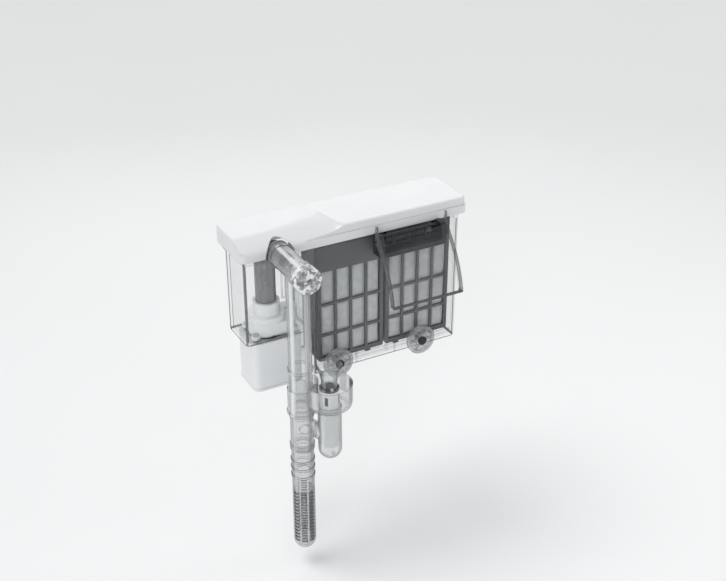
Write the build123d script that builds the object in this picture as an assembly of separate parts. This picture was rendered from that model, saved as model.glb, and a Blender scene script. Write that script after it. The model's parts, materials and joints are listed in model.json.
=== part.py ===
from build123d import *
import os
import math

# Hang on back aquarium filter, millimetres.
# Laid out in the case's own frame: x from the lid's left end, y from the lid's
# front face towards the back, z up from the lid's lower edge. Spout, flap and intake
# stand out in front (y < 0). On export the origin moves to the middle of the
# spout's underside, where the filter sits on the rim of the tank.

# ---- lid ----
LID_LENGTH, LID_DEPTH, LID_HEIGHT = 180.0, 45.0, 12.4
LID_WALL, LID_TOP = 2.0, 2.0
LID_BOTTOM = 0.05
LID_STEP_Z, LID_STEP = 6.4, 0.8
# ---- water case: media chamber on the right, shallower pump chamber on the left ----
WALL = 2.0
MEDIA_X0, MEDIA_X1 = 53.0, 174.0
CASE_FRONT, MEDIA_BACK, PUMP_BACK = 0.5, 41.5, 33.0
MEDIA_Z, PUMP_Z = -104.0, -66.0
PUMP_X0 = 1.0
# ---- spout and flap ----
SPOUT_X0, SPOUT_X1 = 101.5, 155.5
SPOUT_FRONT, SPOUT_BACK, SPOUT_Z = -11.0, 0.4, -15.0
CHEEK = 3.4
PIVOT_Y, PIVOT_Z, PIVOT_R = -6.5, -3.0, 1.2
# ---- intake ----
TUBE_X, TUBE_Y = 29.0, -26.5
INLET_Z = 1.0  # axis of the level pipes
TUBE_R, TUBE_BORE = 8.4, 7.0
COLLAR_Z0, COLLAR_Z1, COLLAR_R = -110.5, -90.5, 9.7
TEE_Z = -141.0
# ---- skimmer ----
SKIM_X, SKIM_Y = 45.5, -38.0
SKIM_R, SKIM_BORE = 8.6, 7.6
SKIM_END = -139.6  # centre of the round closed end
CUP_R, CUP_TOP = 16.6, -85.5
ARM_R, ARM_BORE = 5.4, 4.1
# ---- pump and motor ----
PUMP_X, PUMP_Y = 24.0, 16.8
SHAFT_R = 1.5
PIPE_R, DROP_R, PIPE_WALL = 6.9, 7.4, 1.5
MOTOR_X0, MOTOR_X1, MOTOR_Y0, MOTOR_Y1 = 7.0, 45.0, 1.6, 32.0
MOTOR_Z0, MOTOR_Z1 = -103.0, -66.1
PUMP_SCREWS = [(41.0, 7.0), (10.7, 6.9), (12.0, 26.8)]  # x, y
BASE_SCREWS = [(11.4, 6.0), (40.6, 6.0), (11.4, 27.6), (40.6, 27.6)]  # x, y
CABLE_X, CABLE_Z, CABLE_R = 26.0, -97.0, 1.9
# ---- cartridges ----
CART_W, CART_FRONT, CART_BACK = 53.6, 7.0, 33.0
CART_Z0, CART_Z1 = -98.0, -0.6
CART_SKIN, CART_FACE = 1.8, 1.6
CART_X0 = {"a": 60.0, "b": 115.9}
# ---- levelling knobs ----
KNOB_Z, KNOB_R = -96.0, 11.5
KNOB_X = {"left": 71.0, "right": 141.0}


# ------------------------------------------------------------ basic shapes
def block(x0, x1, y0, y1, z0, z1):
    centre = Pos((x0 + x1) / 2, (y0 + y1) / 2, (z0 + z1) / 2)
    return centre * Box(x1 - x0, y1 - y0, z1 - z0)


def rod_x(y, z, r, x0, x1):
    return Pos((x0 + x1) / 2, y, z) * Rot(0, 90, 0) * Cylinder(r, x1 - x0)


def rod_y(x, z, r, y0, y1):
    return Pos(x, (y0 + y1) / 2, z) * Rot(90, 0, 0) * Cylinder(r, y1 - y0)


def rod_z(x, y, r, z0, z1):
    return Pos(x, y, (z0 + z1) / 2) * Cylinder(r, z1 - z0)


def ball(x, y, z, r):
    return Pos(x, y, z) * Sphere(r)


def slab(x0, x1, y0, y1, z0, z1, corner):
    """Block with rounded upright edges."""
    body = block(x0, x1, y0, y1, z0, z1)
    return fillet(body.edges().filter_by(Axis.Z), corner)


def basin(x0, x1, y0, y1, z0, z1, corner, bottom):
    """Slab whose bottom edges are rounded too."""
    body = slab(x0, x1, y0, y1, z0, z1, corner)
    return fillet(body.faces().sort_by(Axis.Z)[0].edges(), bottom)


def prism_x(outline, x0, x1):
    """(y, z) outline extruded along x."""
    face = make_face(Polyline(*[(x0, y, z) for y, z in outline], close=True))
    return extrude(face, amount=x1 - x0, dir=(1, 0, 0))


def turned(outline, x, y):
    """(radius, z) outline turned about the upright axis through x, y."""
    face = make_face(Polyline(*[(r, 0, z) for r, z in outline], close=True))
    return Pos(x, y, 0) * revolve(face, Axis.Z, 360)


def on_pump(r, z0, z1):
    return rod_z(PUMP_X, PUMP_Y, r, z0, z1)


def on_tube(r, z0, z1):
    return rod_z(TUBE_X, TUBE_Y, r, z0, z1)


def on_skimmer(r, z0, z1):
    return rod_z(SKIM_X, SKIM_Y, r, z0, z1)


def on_inlet(r, y0, y1):
    return rod_y(TUBE_X, INLET_Z, r, y0, y1)


# ----------------------------------------------------------------- housing
def make_housing():
    media = basin(MEDIA_X0, MEDIA_X1, CASE_FRONT, MEDIA_BACK, MEDIA_Z, 0, 4, 2.5)
    pump = basin(PUMP_X0, MEDIA_X0 + 4, CASE_FRONT, PUMP_BACK, PUMP_Z, 0, 3.9, 2.5)
    shelf = slab(PUMP_X0, MEDIA_X0 + 6, 24, MEDIA_BACK, -2, 0, 3.9)
    rim = slab(2.4, 173.6, 2.4, 41.3, -3, 6, 3) - slab(3.9, 172.1, 3.9, 39.8, -4, 7, 1.5)
    media_room = basin(MEDIA_X0 + WALL, MEDIA_X1 - WALL, CASE_FRONT + WALL,
                       MEDIA_BACK - WALL, MEDIA_Z + WALL, 1, 2.5, 1.2)
    pump_room = basin(PUMP_X0 + WALL, MEDIA_X0, CASE_FRONT + WALL,
                      PUMP_BACK - WALL, PUMP_Z + WALL, 1, 2.5, 1.2)
    body = media + pump + shelf
    body = body - media_room - pump_room
    body = body + (rim - block(0, 53.5, 30.8, 45, -4, -1.0))
    # the rim is lower where the lid curves down in front of the pump
    body -= block(0, 83, 2.2, 13, 2.0, 8)
    # cradle ribs on the floor, guide rails between the cartridges
    rib_z0, rib_z1 = -102.5, -98.7
    for y in (5.9, 33.3):
        body += block(MEDIA_X0 + 1.5, MEDIA_X1 - 1.5, y, y + 0.8, rib_z0, rib_z1)
    for y0, y1 in ((CASE_FRONT + 1, 6.2), (33.6, MEDIA_BACK - 1)):
        body += block(114.2, 115.3, y0, y1, rib_z0, -30)
    # short outer ribs on the lower front edge
    for x in (87.5, 119.9):
        body += block(x - 0.5, x + 0.5, -0.3, 1.5, -101.5, -94)
    # blind bosses for the levelling screws
    for x in KNOB_X.values():
        body += rod_y(x, KNOB_Z, 5.2, 1.5, 5.6)
        body -= rod_y(x, KNOB_Z, 2.6, -1, 4.4)
    # round-bottomed notch for the intake
    notch_r = 8.2
    body -= on_inlet(notch_r, -1, 6) + block(TUBE_X - notch_r, TUBE_X + notch_r, -1, 6, INLET_Z, 8)
    # u-shaped rib under the intake notch
    for x0, x1, top in ((28.7, 29.6, -8.4), (31.4, 32.3, -8.4), (28.7, 32.3, -32.0)):
        body += block(x0, x1, -0.4, 1.0, -32.9, top)
    # notch for the spout
    body -= block(SPOUT_X0 + 1.9, SPOUT_X1 - 1.9, -1, 6, SPOUT_Z + 2, 8)
    # water passage through the partition, rotor well hole, pump screw holes
    body -= block(MEDIA_X0 - 1, MEDIA_X0 + WALL + 1, 19, 28.5, -60, -30)
    body -= on_pump(8.15, -67, -63)
    for x, y in PUMP_SCREWS:
        body -= rod_z(x, y, 1.4, -67, -63)
    return body


# --------------------------------------------------------------------- lid
# rounding of the lid's front edge: x, how far back it reaches, how far down it drops
SCOOP_STATIONS = [
    (-2, 17.5, 9.0), (12, 17.5, 9.0), (24, 18, 9.0), (34, 19, 8.9),
    (42, 21, 8.5), (50, 24.5, 7.7), (57, 29, 6.7), (63, 34, 5.7),
    (68, 38.5, 4.8), (71, 40, 4.2), (72.6, 33, 3.7), (74, 22, 3.1),
    (75.5, 12, 2.4), (77, 7, 1.7), (79, 3.5, 0.9), (81.5, 1.5, 0.3),
]
SCOOP_STEPS = 8


def scoop(shift_y, shift_z):
    """Waste above the rounded front edge over the pump."""
    top = LID_HEIGHT + shift_z
    faces = []
    for x, reach, drop in SCOOP_STATIONS:
        arc = []
        for i in range(SCOOP_STEPS + 1):
            t = math.pi / 2 * i / SCOOP_STEPS
            y = shift_y + reach - reach * math.sin(t)
            arc.append((x, y, top - drop + drop * math.cos(t)))
        outside = Polyline(arc[-1], (x, shift_y - 2, top - drop), (x, shift_y - 2, top + 2),
                           (x, arc[0][1], top + 2), arc[0])
        faces.append(make_face(Spline(*arc) + outside))
    return loft(faces, ruled=True)


def make_lid():
    lower = slab(0, LID_LENGTH, 0, LID_DEPTH, LID_BOTTOM, LID_STEP_Z, 4.5)
    upper = slab(0, LID_LENGTH - LID_STEP, LID_STEP, LID_DEPTH, LID_STEP_Z - 1, LID_HEIGHT, 4.2)
    upper = fillet(upper.faces().sort_by(Axis.Z)[-1].edges(), 1.2)
    room = slab(LID_WALL, LID_LENGTH - LID_WALL - 0.4, LID_WALL, LID_DEPTH - LID_WALL,
                -1, LID_HEIGHT - LID_TOP, 2.6)
    # the inside of the top follows the outside, one wall lower
    hollow = room - scoop(LID_WALL + 0.13, -LID_TOP - 0.07)
    lid = (lower + upper) - scoop(0, 0) - hollow
    # arch over the intake
    lid = lid - rod_y(TUBE_X, 0, 11.0, -3, 9.5)
    # two stiffening ribs under the top
    for x in (90.0, 150.0):
        lid += block(x - 0.7, x + 0.7, 1.5, 43.5, 8.4, 10.9)
    return lid


# ------------------------------------------------------------------- spout
CHEEK_OUTLINE = [  # y, z
    (SPOUT_BACK, SPOUT_Z), (SPOUT_FRONT, SPOUT_Z), (SPOUT_FRONT, -8.0), (-9.2, -1.2),
    (-7.4, 0.8), (-0.25, 0.8), (-0.25, -0.1), (SPOUT_BACK, -0.1),
]


def make_spout():
    x0, x1, z = SPOUT_X0, SPOUT_X1, SPOUT_Z
    spout = prism_x(CHEEK_OUTLINE, x0, x0 + CHEEK) + prism_x(CHEEK_OUTLINE, x1 - CHEEK, x1)
    # floor, its tongue into the case, and a lip down the inside of the case
    floor_z = z + 3.6
    spout += block(x0 + 1, x1 - 1, SPOUT_FRONT, SPOUT_BACK, z, floor_z)
    spout += block(x0 + 2.1, x1 - 2.1, 0.2, 4.4, z + 2.1, floor_z)
    spout += block(x0 + 2.1, x1 - 2.1, 2.7, 4.4, z - 2.5, floor_z)
    # side walls through the notch
    for x in (x0 + 2.1, x1 - 3.7):
        spout += block(x, x + 1.6, 0.2, 4.4, z + 2.1, -0.3)
    # grille across the spout: lower and upper rail, three bars
    bar_y0, bar_y1 = -4.6, -3.2
    spout += block(x0 + 2, x1 - 2, bar_y0, bar_y1, z + 3.0, -8.4)
    spout += block(x0 + 2, x1 - 2, bar_y0, bar_y1, -2.0, -0.3)
    for x in (115.0, 128.5, 142.0):
        spout += block(x - 0.7, x + 0.7, bar_y0, bar_y1, -9.0, -1.8)
    # pivot pins for the flap
    spout += (rod_x(PIVOT_Y, PIVOT_Z, PIVOT_R, x0 - 2.1, x0 + 1)
              + rod_x(PIVOT_Y, PIVOT_Z, PIVOT_R, x1 - 1, x1 + 2.1))
    return spout


# -------------------------------------------------------------------- flap
# y, z of the flap's centre line, from the pivot end down and forwards
FLAP_LINE = [(-9.8, -0.6), (-14.0, -7.2), (-20.0, -15.0),
             (-25.3, -24.0), (-29.4, -34.0), (-32.2, -44.0)]
# y, z outlines of the pivot arm and of the web joining it to the flap
ARM_OUTLINE = [(-9.2, -6.0), (-9.6, -0.4), (-8.2, 2.5), (-7.7, 9.0), (-5.6, 9.0),
               (-4.9, 0.0), (-4.2, -3.0), (-5.2, -5.6), (-8.0, -6.6)]
WEB_OUTLINE = [(-8.0, -6.6), (-9.6, -0.4), (-14.2, -7.6), (-12.0, -10.0)]


def beside_line(distance, x):
    """Flap line moved sideways; a positive distance is down and towards the back."""
    points = []
    for i, (y, z) in enumerate(FLAP_LINE):
        before = FLAP_LINE[max(i - 1, 0)]
        after = FLAP_LINE[min(i + 1, len(FLAP_LINE) - 1)]
        dy, dz = after[0] - before[0], after[1] - before[1]
        length = math.hypot(dy, dz)
        points.append((x, y - dz / length * distance, z + dy / length * distance))
    return points


def curved_strip(near, far, x0, x1):
    a = beside_line(near, x0)
    b = beside_line(far, x0)
    face = make_face(Spline(*a) + Line(a[-1], b[-1]) + Spline(*b[::-1]) + Line(b[0], a[0]))
    return extrude(face, amount=x1 - x0, dir=(1, 0, 0))


def make_flap():
    left, right = SPOUT_X0 - 1.8, SPOUT_X1 + 1.8
    flap = curved_strip(-0.7, 0.7, left, right)
    # side flanges with pivot arms
    for x0, x1 in ((left, left + 1.5), (right - 1.5, right)):
        flap += curved_strip(0.2, 3.4, x0, x1)
        pivot_arm = prism_x(ARM_OUTLINE, x0, x1)
        pivot_arm += prism_x(WEB_OUTLINE, x0, x1)
        flap += pivot_arm
        flap -= rod_x(PIVOT_Y, PIVOT_Z, PIVOT_R + 0.08, x0 - 1, x1 + 1)
    # bar along the lower edge
    flap += block(left, right, -32.9, -31.4, -45.2, -43.6)
    return flap


# ------------------------------------------------------------ suction pipe
KNEE_START = Vector(TUBE_X, 8.5, INLET_Z)
KNEE_END = Vector(PUMP_X, PUMP_Y, INLET_Z)


def straight_rod(start, end, r):
    run = end - start
    plane = Plane(origin=(start + end) * 0.5, z_dir=run.normalized())
    return plane * Cylinder(r, run.length)


def knee(r):
    """Level length that carries the intake over to the pump's axis."""
    return straight_rod(KNEE_START, KNEE_END, r)


def make_suction_pipe():
    bore, drop_bore = PIPE_R - PIPE_WALL, DROP_R - PIPE_WALL
    pipe = on_inlet(PIPE_R, -9.0, KNEE_START.Y)
    # collars on either side of the case wall
    for r, y0, y1 in ((9.0, -0.5, 0.35), (8.0, 0.3, 2.7), (9.0, 4.05, 5.0), (8.0, 2.6, 4.1)):
        pipe = pipe + on_inlet(r, y0, y1)
    pipe += Pos(*KNEE_START) * Sphere(PIPE_R) + knee(PIPE_R)
    pipe += ball(PUMP_X, PUMP_Y, INLET_Z, DROP_R) + on_pump(DROP_R, -43.0, INLET_Z)
    pipe -= on_inlet(bore, -10, KNEE_START.Y) + Pos(*KNEE_START) * Sphere(bore) + knee(bore)
    pipe -= ball(PUMP_X, PUMP_Y, INLET_Z, drop_bore) + on_pump(drop_bore, -44, INLET_Z)
    return pipe


# ------------------------------------------------------------------ volute
def make_volute():
    px, py = PUMP_X, PUMP_Y
    body = (on_pump(13.2, -62.6, -49.4)
            + slab(9.6, 45.4, 3.6, 30.2, -62.6, -53.6, 12.5)
            + slab(10.6, 44.4, 4.6, 29.2, -64.0, -62.5, 11.5))
    # socket for the suction pipe
    body += on_pump(9.6, -49.6, -40.0)
    # screw lugs
    for x, y in PUMP_SCREWS:
        angle = math.degrees(math.atan2(y - py, x - px))
        reach = math.hypot(x - px, y - py)
        body += rod_z(x, y, 2.9, -64.0, -61.4)
        lug = Pos((reach + 8) / 2, 0, 0) * Box(reach - 8, 5.0, 2.6)
        body += Pos(px, py, -62.7) * Rot(0, 0, angle) * lug
    # outlet towards the partition, impeller room and outlet bore
    body += block(px + 4, 49.5, 20.6, 28.6, -62.5, -52.5)
    body -= on_pump(12.2, -65.0, -51.6)
    body -= block(px + 5.2, 51.0, 21.8, 27.4, -61.3, -53.7)
    # pipe socket and eye
    body -= on_pump(7.5, -46.0, -39.0)
    body -= on_pump(5.6, -52.0, -45.0)
    # cross that holds the upper bush
    body += (on_pump(2.9, -51.0, -47.4)
             + block(px - 6.2, px + 6.2, py - 0.8, py + 0.8, -51.0, -48.6)
             + block(px - 0.8, px + 0.8, py - 6.2, py + 6.2, -51.0, -48.6))
    body -= on_pump(2.2, -51.5, -48.4)
    # pocket in the right end of the underside
    body -= slab(37.2, 43.8, 10.8, 19.2, -65, -55.2, 1.5)
    for x, y in PUMP_SCREWS:
        body -= rod_z(x, y, 1.4, -65, -60) + rod_z(x, y, 2.3, -61.4, -48)
    return body


# -------------------------------------------------------------- pump motor
def motor_span(inset):
    """x and y limits of the motor case, moved inwards by inset."""
    return MOTOR_X0 + inset, MOTOR_X1 - inset, MOTOR_Y0 + inset, MOTOR_Y1 - inset


def make_rotor_can():
    can = on_pump(7.9, -95.5, -64.1) + on_pump(12.4, -69.4, -67.8)
    return can - on_pump(6.7, -94.3, -63.0)


def make_motor_case():
    case = slab(*motor_span(0), MOTOR_Z0, MOTOR_Z1, 5)
    case -= slab(*motor_span(2), MOTOR_Z0 - 1, MOTOR_Z1 - 3.9, 3)
    case -= on_pump(11.2, -71, -66) + on_pump(12.6, -71, -67.7)
    for x, y in PUMP_SCREWS:
        case += rod_z(x, y, 2.8, -76, -66.6) & block(*motor_span(1), -77, -66)
    for x, y in PUMP_SCREWS:
        case -= rod_z(x, y, 1.22, -75, -66)
    for x, y in BASE_SCREWS:
        case += rod_z(x, y, 2.6, -103.0, -92.0) & block(*motor_span(1), -104, -91)
        case -= rod_z(x, y, 0.92, -104.0, -94.0)
    # cable hole
    case -= rod_y(CABLE_X, CABLE_Z, 2.6, 29.0, 33.0)
    # the can flange stays clear of the corner bosses
    case -= on_pump(12.6, -69.6, -67.7)
    return case


def make_motor_base():
    base = slab(*motor_span(-0.5), -105.4, -103.05, 5.2)
    base = chamfer(base.faces().sort_by(Axis.Z)[0].edges(), 0.8)
    for x, y in BASE_SCREWS:
        base -= rod_z(x, y, 1.15, -106, -103) + rod_z(x, y, 2.0, -106, -104.3)
    return base


def make_screws(places, head, shank, slot):
    """head and shank: radius, z0, z1; slot: half length, half width, z0, z1."""
    half_x, half_y, z0, z1 = slot
    screws = []
    for x, y in places:
        screw = rod_z(x, y, *head) + rod_z(x, y, *shank)
        screw -= block(x - half_x, x + half_x, y - half_y, y + half_y, z0, z1)
        screws.append(screw)
    return sum(screws[1:], screws[0])


def make_stator_core():
    y0, y1 = 11, 22.6
    core = (block(35.7, 40.2, y0, y1, -100, -73) + block(31.0, 35.8, y0, y1, -86, -73)
            + block(10.4, 40.2, y0, y1, -100, -96) + block(10.4, 15.9, y0, y1, -96.1, -73))
    return core - on_pump(8.2, -95.6, -70)


def make_motor_coil():
    coil = slab(32.6, 42.7, 9.2, 24.4, -94.6, -86.6, 1.6)
    return coil - block(35.4, 40.5, 10.7, 22.9, -96, -86)


def make_impeller():
    wheel = on_pump(6.0, -64.95, -62.6) + on_pump(3.6, -62.8, -54.4)
    blade = Pos(6.2, 1.0, -58.8) * Rot(0, 0, 12) * Box(7.4, 1.2, 8.2)
    for i in range(6):
        wheel += Pos(PUMP_X, PUMP_Y, 0) * Rot(0, 0, 60 * i) * blade
    return wheel - on_pump(SHAFT_R + 0.06, -66, -50)


def make_power_cable():
    # level out of the back of the motor, then bent down
    bend_y, bend_r = 37, 5.6
    bend_z = CABLE_Z - bend_r
    bend = Pos(CABLE_X, bend_y, bend_z) * Rot(0, 90, 0) * Torus(bend_r, CABLE_R)
    bend = bend & block(20, 32, bend_y, 46, bend_z, -94)
    return (rod_y(CABLE_X, CABLE_Z, CABLE_R, 25, bend_y + 0.02) + bend
            + rod_z(CABLE_X, bend_y + bend_r, CABLE_R, -124, bend_z + 0.02))


def make_cable_gland():
    gland = (rod_y(CABLE_X, CABLE_Z, 2.55, 28.6, 32.2) + rod_y(CABLE_X, CABLE_Z, 3.4, 32.1, 33.6)
             + rod_y(CABLE_X, CABLE_Z, 2.7, 33.5, 36.6))
    return gland - rod_y(CABLE_X, CABLE_Z, CABLE_R + 0.05, 28, 37)


# ------------------------------------------------------------------ intake
def make_intake_elbow():
    end = -107.0
    elbow = on_inlet(TUBE_R, TUBE_Y, -0.7) + ball(TUBE_X, TUBE_Y, INLET_Z, TUBE_R)
    elbow += on_tube(TUBE_R - 0.1, end, INLET_Z)
    # front mouth for the flow knob, then two raised rings
    elbow += on_inlet(9.3, -37.0, -31.0) + on_inlet(TUBE_R, -34, TUBE_Y)
    elbow += on_tube(9.2, -76.4, -74.6) + on_inlet(9.2, -3.2, -1.4)
    elbow -= on_inlet(TUBE_BORE, -38, 0) + on_tube(TUBE_BORE - 0.1, end - 1, INLET_Z)
    return elbow


def make_flow_knob():
    knob = on_inlet(9.6, -45.0, -37.4)
    knob = fillet(knob.faces().sort_by(Axis.Y)[0].edges(), 1.0)
    # grip grooves round the edge, bar across the front
    for i in range(10):
        angle = math.radians(36 * i)
        x, z = TUBE_X + 10.4 * math.cos(angle), INLET_Z + 10.4 * math.sin(angle)
        knob -= rod_y(x, z, 1.5, -46, -38.6)
    knob += block(TUBE_X - 7.4, TUBE_X + 7.4, -46.6, -44.8, INLET_Z - 1.1, INLET_Z + 1.1)
    # hollow barrel inside the elbow, with a port facing down
    knob += on_inlet(6.9, -37.6, -18.6)
    knob -= on_inlet(5.5, -35.6, -17.0)
    knob -= on_tube(5.2, INLET_Z - 9, INLET_Z)
    return knob


def make_tube_collar():
    bore = TUBE_R + 0.02
    collar = on_tube(COLLAR_R, COLLAR_Z0, COLLAR_Z1) - on_tube(bore, COLLAR_Z0 - 1, COLLAR_Z1 + 1)
    collar += (on_tube(COLLAR_R + 0.7, COLLAR_Z0, COLLAR_Z0 + 1.6)
               - on_tube(bore, COLLAR_Z0 - 1, COLLAR_Z0 + 3))
    return collar


# The sloping arm from tube to skimmer is split half way between tee and skimmer tube.
ARM_REACH = math.hypot(SKIM_X - TUBE_X, SKIM_Y - TUBE_Y)
ARM_ANGLE = math.degrees(math.atan2(SKIM_Y - TUBE_Y, SKIM_X - TUBE_X))
ARM_SPLIT = ARM_REACH / 2


def arm_part(r, start, end):
    """Sloping arm between two level distances from the tube's axis."""
    rod = straight_rod(Vector(TUBE_X, TUBE_Y, -118.0), Vector(SKIM_X, SKIM_Y, -133.0), r)
    span = block(start, end, -12, 12, -150, -100)
    return rod & (Pos(TUBE_X, TUBE_Y, 0) * Rot(0, 0, ARM_ANGLE) * span)


def make_tee():
    tee = on_tube(TUBE_R, TEE_Z, -107.3) + arm_part(ARM_R, 0, ARM_SPLIT - 0.03)
    tee += on_tube(TUBE_R + 0.7, TEE_Z, TEE_Z + 4.0)
    tee += on_tube(TUBE_R + 0.5, -114.0, -112.4)
    # round plug boss on the front
    boss = Pos(0, -8.6, 0) * Rot(90, 0, 0) * Cylinder(3.8, 2.4)
    tee += Pos(TUBE_X, TUBE_Y, -120.5) * Rot(0, 0, -12) * boss
    tee -= on_tube(TUBE_BORE, TEE_Z - 1, -106)
    tee -= arm_part(ARM_BORE, 0, ARM_SPLIT + 1)
    return tee


# ----------------------------------------------------------------- skimmer
CUP_OUTLINE = [  # radius, z: up the outside, down the inside
    (SKIM_BORE, -105.0), (11.0, -105.0), (14.2, -104.0), (16.0, -102.0),
    (CUP_R, -99.0), (CUP_R, CUP_TOP), (15.4, CUP_TOP), (15.4, -98.8),
    (14.9, -101.2), (13.5, -102.9), (10.8, -103.7), (SKIM_BORE, -103.7),
]
FUNNEL_OUTLINE = [  # radius, z: up the inside, down the outside
    (4.3, -88.6), (5.0, -82.0), (6.4, -76.0), (8.8, -71.2), (9.6, -71.2),
    (9.6, -72.0), (7.3, -76.6), (6.0, -82.2), (5.4, -88.6),
]


def make_skimmer_tube():
    tube = on_skimmer(SKIM_R, SKIM_END, -103.5) + ball(SKIM_X, SKIM_Y, SKIM_END, SKIM_R)
    tube += turned(CUP_OUTLINE, SKIM_X, SKIM_Y)
    tube += arm_part(ARM_R, ARM_SPLIT + 0.03, ARM_REACH)
    # the cup is cut back where it meets the collar
    clearance = on_tube(COLLAR_R + 1.6, -112, -80)
    tube -= clearance
    tube -= on_skimmer(SKIM_BORE, SKIM_END, -100) + ball(SKIM_X, SKIM_Y, SKIM_END, SKIM_BORE)
    tube -= arm_part(ARM_BORE, ARM_SPLIT - 1, ARM_REACH)
    # wall closing the cup against the collar
    shield = on_tube(COLLAR_R + 2.8, -104.4, CUP_TOP) - clearance
    shield = shield & on_skimmer(CUP_R, -105, -80)
    tube += shield - on_skimmer(SKIM_BORE, SKIM_END, -80)
    return tube


def make_skimmer_float():
    sleeve = on_skimmer(7.1, -136.0, -90.0) - on_skimmer(5.6, -137, -89)
    window = Pos(6.4, 0, 0) * Box(4, 2.4, 7)
    for angle in (45, 135, 225, 315):
        sleeve -= Pos(SKIM_X, SKIM_Y, -97.5) * Rot(0, 0, angle) * window
    return sleeve


def make_skimmer_funnel():
    funnel = turned(FUNNEL_OUTLINE, SKIM_X, SKIM_Y)
    # foot ring and its three spokes
    funnel += on_skimmer(7.1, -89.95, -88.4) - on_skimmer(5.9, -91, -87)
    spoke = block(4.9, 6.4, -0.6, 0.6, -0.7, 0.8)
    for angle in (20, 140, 260):
        funnel += Pos(SKIM_X, SKIM_Y, -89.2) * Rot(0, 0, angle) * spoke
    return funnel


# ---------------------------------------------------------------- strainer
def make_strainer():
    outer, bore, end = TUBE_R - 0.1, 7.1, -224.0
    body = on_tube(outer, end, TEE_Z - 0.1) + on_tube(6.9, TEE_Z - 2, TEE_Z + 3.6)
    body += ball(TUBE_X, TUBE_Y, end, outer)
    # raised rings
    for z in (-150.8, -157.6, -164.4):
        body += on_tube(TUBE_R + 0.45, z - 0.8, z + 0.8)
    body -= on_tube(bore, end, TEE_Z - 2) + ball(TUBE_X, TUBE_Y, end, bore)
    body -= on_tube(5.7, TEE_Z - 3, TEE_Z + 5)
    # 15 rows of 8 slots
    slot = Pos(8.0, 0, 0) * Box(5, 4.3, 1.4)
    slots = [Pos(TUBE_X, TUBE_Y, -179.0 - 3.1 * row) * Rot(0, 0, 45 * i + 18) * slot
             for row in range(15) for i in range(8)]
    return body.cut(*slots)


# -------------------------------------------------------------- cartridges
WINDOW_ROWS = ((-50.6, -24.6), (-75.6, -52.5), (-94.8, -77.5))  # z0, z1
WINDOW_COLUMNS, WINDOW_MARGIN, WINDOW_BAR = 4, 2.6, 1.9
WINDOW_W = (CART_W - 2 * WINDOW_MARGIN - (WINDOW_COLUMNS - 1) * WINDOW_BAR) / WINDOW_COLUMNS


def half_frame(x0, body_y, room_y, face_y, side_y):
    """Open half of a cage; each argument after x0 is a (y0, y1) pair."""
    x1 = x0 + CART_W
    frame = block(x0, x1, *body_y, CART_Z0, CART_Z1)
    frame = fillet(frame.edges().filter_by(Axis.Y), 1.2)
    frame -= block(x0 + CART_SKIN, x1 - CART_SKIN, *room_y,
                   CART_Z0 + CART_SKIN, CART_Z1 - CART_SKIN)
    for column in range(WINDOW_COLUMNS):
        x = x0 + WINDOW_MARGIN + column * (WINDOW_W + WINDOW_BAR)
        for z0, z1 in WINDOW_ROWS:
            frame -= block(x, x + WINDOW_W, *face_y, z0, z1)
    for x in (x0, x1 - CART_SKIN):
        for z0, z1 in WINDOW_ROWS:
            frame -= block(x - 1, x + 3, *side_y, z0, z1)
    return frame


def add_feet(frame, x0, y0, y1):
    for x in (x0 + 9, x0 + CART_W - 13):
        frame += block(x, x + 4, y0, y1, -101.8, CART_Z0 + 0.2)
    return frame


def make_front_frame(x0):
    frame = half_frame(x0, (CART_FRONT, 20.0), (CART_FRONT + CART_FACE, 21),
                       (CART_FRONT - 1, CART_FRONT + 3), (11, 17.5))
    # snap tabs and pull grip
    top = CART_Z1
    for x in (x0 + 6, x0 + CART_W - 9):
        frame += (block(x, x + 3, 18.0, 20.0, top - 0.1, top + 1.3)
                  + block(x, x + 3, 19.9, 22.4, top + 0.03, top + 1.3))
    middle = x0 + CART_W / 2
    frame += (block(middle - 10, middle + 10, 17.6, 19.4, top - 0.5, 6.0)
              - block(middle - 6.5, middle + 6.5, 17, 20, 1.0, 4.2))
    return add_feet(frame, x0, 10, 19)


def make_back_frame(x0):
    frame = half_frame(x0, (20.05, CART_BACK), (19, CART_BACK - CART_FACE),
                       (CART_BACK - 3, CART_BACK + 1), (22.5, 29))
    return add_feet(frame, x0, 21, 30)


def make_pad(x0, y0):
    return block(x0 + 2.2, x0 + CART_W - 2.2, y0, y0 + 5.0, -95.8, -2.8)


def make_carbon(x0):
    return slab(x0 + 2.6, x0 + CART_W - 2.6, 14.2, 25.8, -95.6, -6.0, 3)


# -------------------------------------------------------- levelling knobs
def make_level_knob(x):
    knob = rod_y(x, KNOB_Z, KNOB_R, -4.6, -0.6)
    knob = fillet(knob.edges(), 0.7)
    # ring-shaped recess in the front, crossed by six spokes
    knob -= rod_y(x, KNOB_Z, KNOB_R - 2.2, -5, -2.2) - rod_y(x, KNOB_Z, 4.6, -6, 0)
    spoke = block(3.6, KNOB_R - 1.6, -0.9, 1.2, -0.6, 0.6)
    for i in range(6):
        knob += Pos(x, -3.1, KNOB_Z) * Rot(0, 60 * i, 0) * spoke
    # stem into the boss, bored for the pad
    knob += rod_y(x, KNOB_Z, 2.52, -1.0, 4.0)
    return knob - rod_y(x, KNOB_Z, 1.5, -5, 2.0)


def make_level_pad(x):
    return rod_y(x, KNOB_Z, 3.4, -5.8, -4.62) + rod_y(x, KNOB_Z, 1.48, -4.8, 1.8)


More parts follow.
